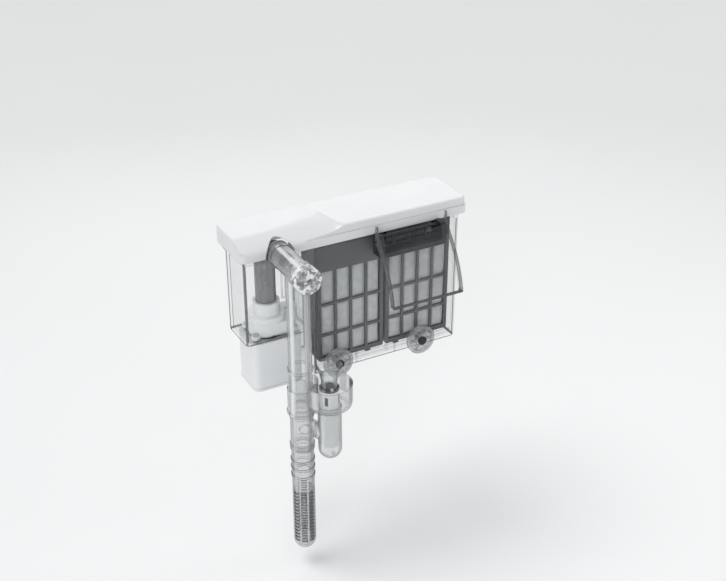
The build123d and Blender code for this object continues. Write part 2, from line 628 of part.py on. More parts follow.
# ------------------------------------------------------------------ export
pieces = {
    "housing": make_housing(),
    "lid": make_lid(),
    "spout": make_spout(),
    "flap": make_flap(),
    "suction_pipe": make_suction_pipe(),
    "volute": make_volute(),
    "rotor_can": make_rotor_can(),
    "can_seal": Pos(PUMP_X, PUMP_Y, -66.9) * Torus(9.9, 0.84),
    "motor_case": make_motor_case(),
    "motor_base": make_motor_base(),
    "base_screws": make_screws(BASE_SCREWS, (1.8, -105.3, -104.35), (0.9, -104.5, -96.0),
                               (1.3, 0.2, -106, -104.9)),
    "pump_screws": make_screws(PUMP_SCREWS, (2.1, -61.35, -60.0), (1.2, -74.0, -61.3),
                               (1.4, 0.25, -60.5, -59)),
    "stator_core": make_stator_core(),
    "motor_coil": make_motor_coil(),
    "shaft": on_pump(SHAFT_R, -93.9, -49.2),
    "lower_bush": on_pump(3.4, -94.25, -92.9) - on_pump(SHAFT_R + 0.01, -93.95, -92),
    "upper_bush": on_pump(2.15, -51.4, -48.5) - on_pump(SHAFT_R + 0.01, -52, -49.15),
    "rotor_magnet": on_pump(6.1, -92.6, -65.0) - on_pump(SHAFT_R + 0.06, -94, -60),
    "impeller": make_impeller(),
    "power_cable": make_power_cable(),
    "cable_gland": make_cable_gland(),
    "intake_elbow": make_intake_elbow(),
    "flow_knob": make_flow_knob(),
    "tube_collar": make_tube_collar(),
    "tee": make_tee(),
    "skimmer_tube": make_skimmer_tube(),
    "skimmer_float": make_skimmer_float(),
    "skimmer_funnel": make_skimmer_funnel(),
    "strainer": make_strainer(),
}
for tag, x in CART_X0.items():
    pieces[f"cart_{tag}_front_frame"] = make_front_frame(x)
    pieces[f"cart_{tag}_back_frame"] = make_back_frame(x)
    pieces[f"cart_{tag}_front_pad"] = make_pad(x, 8.8)
    pieces[f"cart_{tag}_carbon"] = make_carbon(x)
    pieces[f"cart_{tag}_back_pad"] = make_pad(x, 26.2)
for tag, x in KNOB_X.items():
    pieces[f"level_knob_{tag}"] = make_level_knob(x)
    pieces[f"level_pad_{tag}"] = make_level_pad(x)

to_spout = Pos(-(SPOUT_X0 + SPOUT_X1) / 2, -(SPOUT_FRONT + SPOUT_BACK) / 2, -SPOUT_Z)
os.makedirs("parts", exist_ok=True)
for name, shape in pieces.items():
    moved = to_spout * shape
    moved.label = name
    export_step(moved, f"parts/{name}.step")
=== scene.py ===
# Water filter: a clear two-box case with a lid, two cartridges of floss and carbon, a pump
# with its motor, and clear skimmer and strainer tubes hanging at the left.
# Metres, Z up. X runs along the width of the case and its front faces -Y.
# The CAD pieces get their materials here, and the soft pads are modelled anew.
import json
import math
import random
import bmesh
import bpy
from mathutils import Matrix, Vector, noise


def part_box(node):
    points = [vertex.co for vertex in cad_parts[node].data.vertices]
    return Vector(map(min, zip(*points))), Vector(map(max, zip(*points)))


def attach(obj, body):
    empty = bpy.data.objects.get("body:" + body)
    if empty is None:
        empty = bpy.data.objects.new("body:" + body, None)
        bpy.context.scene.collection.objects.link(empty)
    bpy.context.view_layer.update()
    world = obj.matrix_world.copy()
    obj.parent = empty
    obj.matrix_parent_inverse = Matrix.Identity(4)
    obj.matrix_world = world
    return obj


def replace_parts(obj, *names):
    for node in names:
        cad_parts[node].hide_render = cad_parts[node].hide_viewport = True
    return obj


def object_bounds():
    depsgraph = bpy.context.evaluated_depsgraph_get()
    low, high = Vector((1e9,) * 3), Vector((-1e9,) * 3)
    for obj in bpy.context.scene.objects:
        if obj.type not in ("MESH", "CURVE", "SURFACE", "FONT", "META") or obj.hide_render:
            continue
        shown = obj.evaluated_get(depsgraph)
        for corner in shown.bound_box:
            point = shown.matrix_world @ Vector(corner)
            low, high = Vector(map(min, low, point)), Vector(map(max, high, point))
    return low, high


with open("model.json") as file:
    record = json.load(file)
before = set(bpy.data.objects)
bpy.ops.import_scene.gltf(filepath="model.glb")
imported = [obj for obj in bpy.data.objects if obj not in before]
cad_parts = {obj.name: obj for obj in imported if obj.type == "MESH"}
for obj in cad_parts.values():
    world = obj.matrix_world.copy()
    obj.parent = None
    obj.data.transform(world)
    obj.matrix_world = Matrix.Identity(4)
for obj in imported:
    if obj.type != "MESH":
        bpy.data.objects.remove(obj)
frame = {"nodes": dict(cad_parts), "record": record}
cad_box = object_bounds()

random.seed(7)
scene = bpy.context.scene
MM = 0.001

# The part of a noise's range that holds most of its values
MIDDLE = (0.3, 0.7)


# ------------------------------------------------------------ shader node helpers
class Tree:
    """A material under construction; most methods add a node and return its output."""

    def __init__(self, name):
        self.material = bpy.data.materials.new(name)
        self.material.use_nodes = True
        self.nodes = self.material.node_tree.nodes
        self.nodes.clear()
        self.surface = self.add("ShaderNodeOutputMaterial").inputs["Surface"]
        self.sources = {}

    def add(self, kind, **properties):
        node = self.nodes.new(kind)
        for key, value in properties.items():
            setattr(node, key, value)
        return node

    def link(self, output, socket):
        self.material.node_tree.links.new(output, socket)

    def put(self, socket, value):
        """Link a socket, or set its value; a tuple is an RGB colour."""
        if isinstance(value, bpy.types.NodeSocket):
            self.link(value, socket)
        elif isinstance(value, tuple):
            socket.default_value = (*value, 1.0)
        else:
            socket.default_value = value

    def source(self, kind, output):
        """An output of an input node that the whole tree shares."""
        if kind not in self.sources:
            self.sources[kind] = self.add(kind)
        return self.sources[kind].outputs[output]

    def geometry(self, output):
        return self.source("ShaderNodeNewGeometry", output)

    def coords(self, output="Object"):
        return self.source("ShaderNodeTexCoord", output)

    def math(self, operation, a, b=0.0, clamp=False):
        node = self.add("ShaderNodeMath", operation=operation, use_clamp=clamp)
        self.put(node.inputs[0], a)
        self.put(node.inputs[1], b)
        return node.outputs[0]

    def largest(self, values):
        values = iter(values)
        top = next(values)
        for value in values:
            top = self.math("MAXIMUM", top, value)
        return top

    def offset(self, value, centre):
        return self.math("ABSOLUTE", self.math("SUBTRACT", value, centre))

    def remap(self, value, span, to=(0.0, 1.0), smooth=False):
        kind = "SMOOTHSTEP" if smooth else "LINEAR"
        node = self.add("ShaderNodeMapRange", interpolation_type=kind)
        for i, item in enumerate((value, *span, *to)):
            self.put(node.inputs[i], item)
        return node.outputs[0]

    def mix(self, factor, first, second, blend="MIX"):
        node = self.add("ShaderNodeMix", data_type="RGBA", blend_type=blend)
        self.put(node.inputs[0], factor)
        self.put(node.inputs[6], first)
        self.put(node.inputs[7], second)
        return node.outputs[2]

    def vector(self, operation, a, b=None):
        node = self.add("ShaderNodeVectorMath", operation=operation)
        self.put(node.inputs[0], a)
        if b is not None:
            self.put(node.inputs[1], b)
        return node.outputs["Value" if operation == "DOT_PRODUCT" else "Vector"]

    def split(self, vector):
        node = self.add("ShaderNodeSeparateXYZ")
        self.link(vector, node.inputs[0])
        return node.outputs

    def noise(self, scale, detail=3.0, rough=0.55, vector=None, distortion=0.0):
        node = self.add("ShaderNodeTexNoise")
        node.inputs["Scale"].default_value = scale
        node.inputs["Detail"].default_value = detail
        node.inputs["Roughness"].default_value = rough
        node.inputs["Distortion"].default_value = distortion
        self.link(vector or self.coords(), node.inputs["Vector"])
        return node.outputs["Fac"]

    def voronoi(self, scale, output="Distance"):
        node = self.add("ShaderNodeTexVoronoi", feature="F1")
        node.inputs["Scale"].default_value = scale
        self.link(self.coords(), node.inputs["Vector"])
        return node.outputs[output]

    def wave(self, scale, direction, distortion=0.0, vector=None):
        node = self.add("ShaderNodeTexWave", wave_type="BANDS", bands_direction=direction)
        node.inputs["Scale"].default_value = scale
        node.inputs["Distortion"].default_value = distortion
        self.link(vector or self.coords(), node.inputs["Vector"])
        return node.outputs["Fac"]

    def mapping(self, scale, turn=(0, 0, 0)):
        node = self.add("ShaderNodeMapping")
        node.inputs["Scale"].default_value = scale
        node.inputs["Rotation"].default_value = turn
        self.link(self.coords(), node.inputs["Vector"])
        return node.outputs[0]

    def bump(self, height, strength, distance, normal=None):
        node = self.add("ShaderNodeBump")
        self.put(node.inputs["Strength"], strength)
        self.put(node.inputs["Distance"], distance)
        self.put(node.inputs["Height"], height)
        if normal is not None:
            self.link(normal, node.inputs["Normal"])
        return node.outputs[0]

    def bevel(self, radius):
        node = self.add("ShaderNodeBevel")
        node.samples = 4
        node.inputs["Radius"].default_value = radius
        return node.outputs[0]

    def edge(self, radius):
        """A mask, 0 on flat ground and 1 on an edge, and the bevelled normal."""
        bevelled = self.bevel(radius)
        agreement = self.vector("DOT_PRODUCT", bevelled, self.geometry("Normal"))
        return self.remap(agreement, span=(0.995, 0.80)), bevelled

    def facing(self):
        node = self.add("ShaderNodeLayerWeight")
        node.inputs["Blend"].default_value = 0.5
        return node.outputs["Facing"]

    def outward(self, centre_x, centre_y):
        """How far a face looks away from an upright axis (1 to -1), and its height."""
        x, y, z = self.split(self.coords())
        spoke = self.add("ShaderNodeCombineXYZ")
        self.link(self.math("SUBTRACT", x, centre_x), spoke.inputs[0])
        self.link(self.math("SUBTRACT", y, centre_y), spoke.inputs[1])
        spoke = self.vector("NORMALIZE", spoke.outputs[0])
        return self.vector("DOT_PRODUCT", spoke, self.geometry("True Normal")), z

    def principled(self, colour, rough, normal, settings):
        node = self.add("ShaderNodeBsdfPrincipled")
        self.put(node.inputs["Base Color"], colour)
        self.put(node.inputs["Roughness"], rough)
        self.link(normal, node.inputs["Normal"])
        for key, value in settings.items():
            node.inputs[key].default_value = value
        return node.outputs[0]

    def done(self, shader):
        self.link(shader, self.surface)
        return self.material


def scaled(colour, factor):
    return tuple(c * factor for c in colour)


# ---------------------------------------------------------------- moulded plastic
def moulded(name, colour, rough, grain=1400.0, grain_depth=0.00003, wear=0.10, worn=None,
            tone=0.06, edge_radius=0.0005, coat=0.0, milky=0.0, bore=None, turn=0.0):
    """Fine grain, slow tone drift, handling haze and worn edges.

    grain is a noise scale, wear the strength and worn the colour of the edge chips, tone
    the share the colour drifts by, milky the subsurface weight, turn the strength of painted
    shade on rounded outer edges, and bore the (x, y, top) of an open tube with painted shade
    inside.
    """
    t = Tree(name)
    edge, bevelled = t.edge(edge_radius)
    drift = t.noise(scale=22.0)
    haze = t.noise(scale=95.0, detail=4.0, rough=0.6)
    fine = t.noise(scale=grain, detail=2.0, rough=0.5)
    stretched = t.mapping(scale=(1.0, 1.0, 9.0), turn=(0.3, 0.2, 0.1))
    scratches = t.noise(scale=60.0, detail=5.0, rough=0.7, vector=stretched)

    dark = tuple(max(c * (1 - tone), 0) for c in colour)
    light = tuple(min(c * (1 + tone), 1) for c in colour)
    tint = t.mix(t.remap(drift, MIDDLE), dark, light)
    patches = t.remap(t.noise(scale=420.0), span=(0.38, 0.62))
    chips = t.math("MULTIPLY", edge, patches, clamp=True)
    worn = worn or tuple(min(c * 1.5 + 0.12, 1) for c in colour)
    tint = t.mix(t.math("MULTIPLY", chips, wear, clamp=True), tint, worn)
    if turn:
        # painted shade: rounded outer edges darken where they turn out of sight, but level
        # tops don't
        facing = t.facing()
        up = t.split(t.geometry("Normal"))["Z"]
        away = t.remap(facing, span=(0.66, 0.92), to=(0.0, turn), smooth=True)
        not_top = t.remap(up, span=(0.90, 0.97), to=(1.0, 0.0))
        away = t.math("MULTIPLY", away, not_top)
        tint = t.mix(away, tint, scaled(colour, 0.35))
    if bore:
        # painted shade inside an open tube and on its rim, where little light gets in
        centre_x, centre_y, top = bore
        outward, z = t.outward(centre_x, centre_y)
        bore_shade = t.remap(outward, span=(0.1, 0.5), to=(1.0, 0.0))
        bore_shade = t.math("MAXIMUM", bore_shade, t.remap(z, span=(top - 0.0004, top - 0.0001)))
        tint = t.mix(t.math("MULTIPLY", bore_shade, 0.9), tint, (0.07, 0.072, 0.075))

    haze_rough = t.remap(haze, MIDDLE, to=(rough - 0.05, rough + 0.07))
    scratch_rough = t.remap(scratches, span=(0.62, 0.72), to=(0.0, 0.07))
    roughness = t.math("ADD", haze_rough, scratch_rough)
    normal = t.bump(fine, strength=0.35, distance=grain_depth, normal=bevelled)
    normal = t.bump(haze, strength=0.12, distance=0.00006, normal=normal)
    settings = {"Specular IOR Level": 0.5, "Coat Weight": coat}
    if milky:
        settings["Subsurface Weight"] = milky
        settings["Subsurface Radius"] = (0.004, 0.004, 0.004)
    return t.done(t.principled(tint, roughness, normal, settings))


# ------------------------------------------------------------------ clear plastic
# Reflections on round walls. Columns: direction the wall faces, cosine to it where the
# reflection starts, cosine where it is full, share of the streak strength
LAMP_STREAKS = (
    ((-0.90, -0.43, 0.05), 0.965, 0.996, 1.0),
    ((-0.35, -0.10, 0.93), 0.955, 0.995, 1.0),
    ((0.93, -0.36, 0.05), 0.975, 0.998, 0.6),
)
DARK_STREAKS = (
    ((0.50, -0.86, 0.00), 0.955, 0.990, 0.38),
    ((0.75, -0.10, -0.65), 0.940, 0.990, 0.5),
    ((-0.93, -0.30, 0.00), 0.970, 0.995, 0.3),
)


def reflections(t, table, strength):
    for direction, start, full, share in table:
        toward = t.vector("DOT_PRODUCT", t.geometry("Normal"), Vector(direction).normalized())
        yield t.remap(toward, span=(start, full), to=(0.0, strength * share), smooth=True)


def absolute_normal(t):
    return t.split(t.vector("ABSOLUTE", t.coords("Normal")))


def fillet_line(t, amount):
    """Rounded corners, whose normals lie along none of the axes."""
    straightest = t.largest(absolute_normal(t))
    return t.remap(straightest, span=(0.88, 0.79), to=(0.0, amount), smooth=True)


def rim_lines(t, rims):
    """Strips along the rims of a plate, weaker on the faces that look along X."""
    place = t.split(t.coords())
    front = t.remap(absolute_normal(t)["X"], MIDDLE, to=(1.0, 0.7))
    for axis, at, side, width, amount in rims:
        span = (at - side * width, at - side * width * 0.6)
        yield t.math("MULTIPLY", t.remap(place[axis], span, to=(0.0, amount)), front)


def frame_lines(t, frames):
    """Thick corners of open-topped boxes, dark wherever two of the walls are near."""
    open_top = 9.0  # far above everything
    x, y, z = t.split(t.coords())
    for x0, x1, y0, y1, z0, width, amount in frames:
        near = []
        for value, low, high in ((x, x0, x1), (y, y0, y1), (z, z0, open_top)):
            distance = t.offset(t.offset(value, (low + high) / 2), (high - low) / 2)
            near.append(t.remap(distance, span=(width * 0.7, width * 1.1), to=(1.0, 0.0)))
        pairs = ((0, 1), (0, 2), (1, 2))
        corner = t.largest(t.math("MULTIPLY", near[i], near[j]) for i, j in pairs)
        half = (x1 - x0) / 2
        beside = t.offset(x, (x0 + x1) / 2)
        inside = t.remap(beside, span=(half + width, half + width * 1.3), to=(1.0, 0.0))
        yield t.math("MULTIPLY", t.math("MULTIPLY", corner, inside), amount)


def band_lines(t, bands):
    """Long dark lines in the rounded front edges of the case."""
    x, y, z = t.split(t.coords())
    for x0, x1, front, z0, z1, amount in bands:
        line = t.remap(t.offset(y, front), span=(0.0009, 0.0012), to=(amount, 0.0))
        for value, low, high in ((x, x0, x1), (z, z0, z1)):
            half = (high - low) / 2
            beside = t.offset(value, (low + high) / 2)
            within = t.remap(beside, span=(half - 0.0001, half + 0.0003), to=(1.0, 0.0))
            line = t.math("MULTIPLY", line, within)
        yield line


def cut_line(t, centre_x, centre_y, bottom, top, amount):
    """Walls of slots cut through an upright tube: they never face outwards."""
    fade = 0.002
    outward, z = t.outward(centre_x, centre_y)
    line = t.remap(t.math("ABSOLUTE", outward), span=(0.45, 0.75), to=(amount, 0.0))
    line = t.math("MULTIPLY", line, t.remap(z, span=(bottom, bottom + fade)))
    return t.math("MULTIPLY", line, t.remap(z, span=(top, top + fade), to=(1.0, 0.0)))


def clear(name, tint, edge_tint, opacity, through=(0.97, 0.975, 0.975), power=3.2,
          edge_radius=0.0005, rough=0.05, fillet=0.0, rims=(), frames=(), bands=(),
          cuts=None, outline=0.0, outline_at=(0.56, 0.86), streaks=0.0, sparkle=0.0):
    """Clear moulding: greyer where the wall turns away, dark where it is seen lengthways.

    opacity holds the share everywhere, the share added at grazing view and the share added
    on edges. through colours what is seen through it, power is the falloff to grazing
    view. fillet, outline, streaks and sparkle are strengths.
    """
    t = Tree(name)
    base, grazing, edges = opacity
    edge, bevelled = t.edge(edge_radius)
    facing = t.facing()
    falloff = t.math("POWER", facing, power)
    smear = t.noise(scale=34.0, detail=4.0, rough=0.6)
    film = t.remap(smear, span=(0.4, 0.75), to=(0.0, 0.035))
    specks = t.remap(t.voronoi(scale=260.0), span=(0.04, 0.08), to=(0.08, 0.0))
    alpha = t.math("ADD", t.math("MULTIPLY", falloff, grazing), base)

    lines = [t.math("MULTIPLY", edge, edges)]
    if fillet:
        lines.append(fillet_line(t, fillet))
    if rims:
        lines.extend(rim_lines(t, rims))
    if frames:
        lines.extend(frame_lines(t, frames))
    if bands:
        lines.extend(band_lines(t, bands))
    if cuts:
        lines.append(cut_line(t, *cuts))
    if outline:
        lines.append(t.remap(facing, span=outline_at, to=(0.0, outline), smooth=True))
    if streaks:
        lit = t.largest(reflections(t, LAMP_STREAKS, streaks))
        lines.append(t.largest(reflections(t, DARK_STREAKS, streaks)))
        alpha = t.math("MAXIMUM", alpha, lit)
    line = t.largest(lines)
    for layer, clamp in ((line, False), (film, False), (specks, True)):
        alpha = t.math("ADD", alpha, layer, clamp=clamp)

    darkness = t.math("MAXIMUM", line, t.remap(falloff, span=(0.2, 0.85)), clamp=True)
    colour = t.mix(darkness, tint, edge_tint)
    if sparkle:
        # cut facets: each one throws back either a lamp or the dark of the room
        facet = t.split(t.voronoi(scale=360.0, output="Color"))
        shine = t.remap(facet[0], span=(0.60, 0.66), to=(0.0, sparkle))
        shade = t.remap(facet[1], span=(0.72, 0.78), to=(0.0, sparkle * 0.8))
        lit = t.math("MAXIMUM", lit, shine)
        alpha = t.math("MAXIMUM", alpha, t.math("MAXIMUM", shine, shade), clamp=True)
        colour = t.mix(shade, colour, (0.03, 0.03, 0.032))
    if streaks:
        colour = t.mix(lit, colour, (1.0, 1.0, 1.0))

    waves = t.noise(scale=26.0, detail=2.0)
    normal = t.bump(waves, strength=0.10, distance=0.0006, normal=bevelled)
    grain = t.noise(scale=700.0, detail=2.0)
    normal = t.bump(grain, strength=0.06, distance=0.00003, normal=normal)
    roughness = t.remap(smear, MIDDLE, to=(rough, rough + 0.09))
    solid = t.principled(colour, roughness, normal, {
        "Specular IOR Level": 0.8, "Coat Weight": 0.5, "Coat Roughness": 0.04})
    transparent = t.add("ShaderNodeBsdfTransparent")
    t.put(transparent.inputs["Color"], through)
    blend = t.add("ShaderNodeMixShader")
    for i, output in enumerate((alpha, transparent.outputs[0], solid)):
        t.link(output, blend.inputs[i])
    return t.done(blend.outputs[0])


# ---------------------------------------------------------------- other materials
def brushed_metal(name, colour, rough):
    t = Tree(name)
    bevelled = t.bevel(radius=0.0003)
    stretched = t.mapping(scale=(1.0, 1.0, 60.0))
    brushed = t.noise(scale=70.0, detail=4.0, rough=0.6, vector=stretched)
    tint = t.mix(t.remap(brushed, MIDDLE), scaled(colour, 0.86), colour)
    roughness = t.remap(brushed, MIDDLE, to=(rough, rough + 0.15))
    normal = t.bump(brushed, strength=0.3, distance=0.00004, normal=bevelled)
    return t.done(t.principled(tint, roughness, normal, {"Metallic": 1.0}))


def winding(name):
    """Copper wire in level turns."""
    t = Tree(name)
    turns = t.wave(scale=620.0, direction="Z", distortion=1.2)
    colour = t.mix(turns, (0.30, 0.09, 0.03), (0.78, 0.33, 0.13))
    normal = t.bump(turns, strength=0.8, distance=0.0002)
    return t.done(t.principled(colour, 0.3, normal, {"Metallic": 0.85}))


def laminated(name):
    """Steel sheets stacked along Y, with a little rust."""
    t = Tree(name)
    sheets = t.wave(scale=420.0, direction="Y")
    rust = t.remap(t.noise(scale=160.0, detail=4.0), span=(0.55, 0.75))
    colour = t.mix(sheets, (0.22, 0.22, 0.23), (0.48, 0.48, 0.49))
    colour = t.mix(t.math("MULTIPLY", rust, 0.4), colour, (0.25, 0.12, 0.06))
    normal = t.bump(sheets, strength=0.5, distance=0.0001)
    return t.done(t.principled(colour, 0.42, normal, {"Metallic": 0.9}))


def floss(name):
    """Bonded fibre pad: fine strands running every way over a soft lofted ground."""
    t = Tree(name)
    patches = t.noise(scale=40.0)
    along_x = t.mapping(scale=(1.0, 1.0, 7.0), turn=(0.1, 0.5, 0.2))
    along_z = t.mapping(scale=(6.5, 1.0, 1.0), turn=(0.2, -0.7, 0.3))
    slanted = t.mapping(scale=(1.0, 2.0, 5.0), turn=(0.9, 0.2, 0.8))
    first = t.noise(scale=420.0, detail=5.0, rough=0.7, vector=along_x, distortion=1.6)
    second = t.noise(scale=380.0, detail=5.0, rough=0.7, vector=along_z, distortion=1.9)
    fine = t.noise(scale=900.0, detail=4.0, rough=0.7, vector=slanted, distortion=1.0)
    strands = t.largest(t.remap(layer, span=(0.42, 0.72)) for layer in (first, second))
    fine = t.math("MULTIPLY", t.remap(fine, span=(0.4, 0.7)), 0.5)
    strands = t.math("ADD", strands, fine)
    clumps = t.noise(scale=150.0)

    cover = t.math("MULTIPLY", strands, 0.8, clamp=True)
    colour = t.mix(cover, (0.52, 0.53, 0.53), (0.97, 0.975, 0.975))
    shade = t.remap(clumps, span=(0.38, 0.66), to=(0.0, 0.6))
    colour = t.mix(shade, colour, (0.70, 0.71, 0.71), "MULTIPLY")
    yellowing = t.remap(patches, span=(0.55, 0.75), to=(0.0, 0.25))
    colour = t.mix(yellowing, colour, (0.80, 0.79, 0.75))
    normal = t.bump(strands, strength=0.7, distance=0.0005)
    normal = t.bump(clumps, strength=0.4, distance=0.0006, normal=normal)
    return t.done(t.principled(colour, 0.93, normal, {
        "Specular IOR Level": 0.15, "Sheen Weight": 0.5, "Sheen Roughness": 0.6}))


def carbon(name):
    """Black granules behind a net of crossing diagonal threads."""
    t = Tree(name)
    granules = t.voronoi(scale=520.0)
    colour = t.mix(t.remap(granules, span=(0.1, 0.7)),
                   (0.055, 0.055, 0.058), (0.012, 0.012, 0.013))
    threads = t.wave(scale=330.0, direction="DIAGONAL")
    mirrored = t.mapping(scale=(-1.0, 1.0, 1.0))
    crossing = t.wave(scale=330.0, direction="DIAGONAL", vector=mirrored)
    crests = [t.remap(layer, span=(0.88, 0.97)) for layer in (threads, crossing)]
    net = t.math("MAXIMUM", *crests, clamp=True)
    colour = t.mix(t.math("MULTIPLY", net, 0.7), colour, (0.30, 0.30, 0.31))
    normal = t.bump(granules, strength=0.9, distance=0.0008)
    normal = t.bump(net, strength=0.5, distance=0.0002, normal=normal)
    roughness = t.remap(granules, span=(0.0, 0.6), to=(0.45, 0.8))
    return t.done(t.principled(colour, roughness, normal, {}))


def ground(name, colour):
    t = Tree(name)
    drift = t.noise(scale=3.0)
    grain = t.noise(scale=240.0)
    tint = t.mix(t.remap(drift, MIDDLE), scaled(colour, 0.985), colour)
    roughness = t.remap(grain, MIDDLE, to=(0.62, 0.72))
    normal = t.bump(grain, strength=0.05, distance=0.0002)
    return t.done(t.principled(tint, roughness, normal, {"Specular IOR Level": 0.2}))


# x0, x1, y0, y1, bottom, line width, strength: the large box and the small left one
CASE_FRAMES = (
    (-0.0755, 0.0455, 0.0058, 0.0468, -0.0890, 0.0017, 0.80),
    (-0.1275, -0.0770, 0.0058, 0.0383, -0.0510, 0.0017, 0.80),
)
# x0, x1, y, z0, z1, strength: large box's bottom and right edges, small box's bottom edge
CASE_BANDS = (
    (-0.0745, 0.0435, 0.0058, -0.0882, -0.0871, 0.82),
    (0.0418, 0.0429, 0.0058, -0.0870, 0.0120, 0.80),
    (-0.1250, -0.0770, 0.0058, -0.0502, -0.0489, 0.85),
)
# axis, place, direction outwards, width, strength: right, left and bottom rims
FLAP_RIMS = (
    ("X", 0.0288, 1, 0.0006, 0.9),
    ("X", -0.0288, -1, 0.0012, 0.9),
    ("Z", -0.0302, -1, 0.0020, 0.95),
)
# axis x, axis y, bottom, top, strength
STRAINER_CUTS = (-0.0995, -0.0212, -0.2100, -0.1300, 0.82)
# axis x, axis y, top
FLOAT_BORE = (-0.083, -0.0327, -0.075)

MATERIALS = {
    "clear_case": clear(
        "case_clear", (0.36, 0.37, 0.375), (0.010, 0.010, 0.011),
        opacity=(0.022, 0.28, 0.9), through=(0.984, 0.988, 0.988), rough=0.06,
        fillet=0.85, frames=CASE_FRAMES, bands=CASE_BANDS),
    "clear_tube": clear(
        "tube_clear", (0.60, 0.61, 0.62), (0.026, 0.028, 0.030),
        opacity=(0.10, 0.58, 1.1), through=(0.955, 0.96, 0.96), power=3.0,
        outline=0.88, streaks=0.55),
    "skimmer_clear": clear(
        "skimmer_clear", (0.60, 0.61, 0.62), (0.022, 0.024, 0.026),
        opacity=(0.11, 0.52, 1.2), through=(0.965, 0.97, 0.97),
        outline=0.96, outline_at=(0.50, 0.80), streaks=0.4),
    "funnel_clear": clear(
        "funnel_clear", (0.64, 0.65, 0.66), (0.016, 0.017, 0.018),
        opacity=(0.06, 0.50, 1.5), through=(0.972, 0.977, 0.977),
        outline=0.97, outline_at=(0.44, 0.74), streaks=0.3),
    "flap_clear": clear(
        "flap_clear", (0.36, 0.37, 0.375), (0.010, 0.010, 0.011),
        opacity=(0.025, 0.28, 0.9), through=(0.975, 0.975, 0.975), power=3.0,
        edge_radius=0.0004, rough=0.06, rims=FLAP_RIMS),
    "strainer_clear": clear(
        "strainer_clear", (0.52, 0.53, 0.54), (0.020, 0.022, 0.024),
        opacity=(0.13, 0.52, 1.7), through=(0.965, 0.97, 0.97), edge_radius=0.0004,
        cuts=STRAINER_CUTS, outline=0.95, outline_at=(0.50, 0.82), streaks=0.35),
    "knob_clear": clear(
        "knob_clear", (0.55, 0.56, 0.57), (0.030, 0.032, 0.034),
        opacity=(0.20, 0.65, 0.85), through=(0.92, 0.925, 0.925), power=2.0,
        edge_radius=0.0006, rough=0.07, outline=0.8, streaks=0.7, sparkle=0.8),
    "lid_white": moulded(
        "lid_satin", (0.665, 0.67, 0.675), 0.32, grain=1500.0, grain_depth=0.00002,
        wear=0.75, worn=(0.40, 0.405, 0.41), tone=0.012, edge_radius=0.0006, coat=0.2,
        turn=0.6),
    "dark_plastic": moulded(
        "spout_dark", (0.018, 0.018, 0.021), 0.38, grain=900.0, grain_depth=0.00005,
        wear=0.5, worn=(0.10, 0.10, 0.11), tone=0.12),
    "cage_grey": moulded(
        "cage_dark", (0.095, 0.098, 0.102), 0.46, grain=1000.0, grain_depth=0.00004,
        wear=0.5, worn=(0.17, 0.17, 0.18), tone=0.10, edge_radius=0.0004),
    "smoke_pipe": clear(
        "pipe_smoke", (0.27, 0.275, 0.28), (0.06, 0.06, 0.065),
        opacity=(0.72, 0.25, 0.2), power=1.5, edge_radius=0.0006, rough=0.22),
    "white_plastic": moulded(
        "volute_white", (0.84, 0.845, 0.85), 0.40, grain=1300.0, grain_depth=0.00002,
        wear=0.2, worn=(0.86, 0.86, 0.86), tone=0.02, edge_radius=0.0006),
    "motor_grey": moulded(
        "motor_grey", (0.73, 0.74, 0.75), 0.42, grain=1100.0, grain_depth=0.00004,
        wear=0.25, worn=(0.80, 0.80, 0.81), tone=0.03, edge_radius=0.0007),
    "well_black": moulded("well_black", (0.02, 0.02, 0.022), 0.35, grain=1300.0),
    "frost_knob": clear(
        "knob_frost", (0.44, 0.45, 0.46), (0.06, 0.065, 0.07),
        opacity=(0.30, 0.45, 0.65), through=(0.9, 0.905, 0.905), power=1.6, rough=0.2,
        outline=0.6, streaks=0.4),
    "frost_float": moulded(
        "float_milky", (0.77, 0.775, 0.78), 0.34, grain_depth=0.00002, wear=0.3,
        worn=(0.9, 0.9, 0.9), tone=0.02, coat=0.1, milky=0.25, bore=FLOAT_BORE),
    "seal_rubber": moulded(
        "rubber_black", (0.018, 0.018, 0.019), 0.72, grain=700.0, grain_depth=0.00006,
        wear=0.3, worn=(0.09, 0.09, 0.09)),
    "pad_fibre": floss("pad_floss"),
    "carbon_bag": carbon("carbon_net"),
    "steel_core": laminated("core_steel"),
    "copper_coil": winding("coil_copper"),
    "magnet": moulded(
        "magnet_ferrite", (0.035, 0.035, 0.038), 0.5, grain=600.0, grain_depth=0.00006,
        wear=0.5, worn=(0.15, 0.15, 0.15)),
    "ceramic_shaft": moulded(
        "shaft_ceramic", (0.80, 0.79, 0.75), 0.12, grain=1800.0, grain_depth=0.000008),
    "screw_steel": brushed_metal("screw_steel", (0.66, 0.66, 0.67), 0.24),
    "cable_black": moulded(
        "cable_black", (0.012, 0.012, 0.013), 0.48, grain=800.0, grain_depth=0.00004,
        wear=0.2, worn=(0.06, 0.06, 0.06)),
    "impeller_white": moulded("impeller_white", (0.68, 0.68, 0.66), 0.38, grain=1200.0),
}
# Pieces whose material differs from that of their slot
OWN_MATERIAL = {
    "flap": "flap_clear",
    "strainer": "strainer_clear",
    "tee": "strainer_clear",
    "skimmer_tube": "skimmer_clear",
    "skimmer_funnel": "funnel_clear",
    "flow_knob": "knob_clear",
}


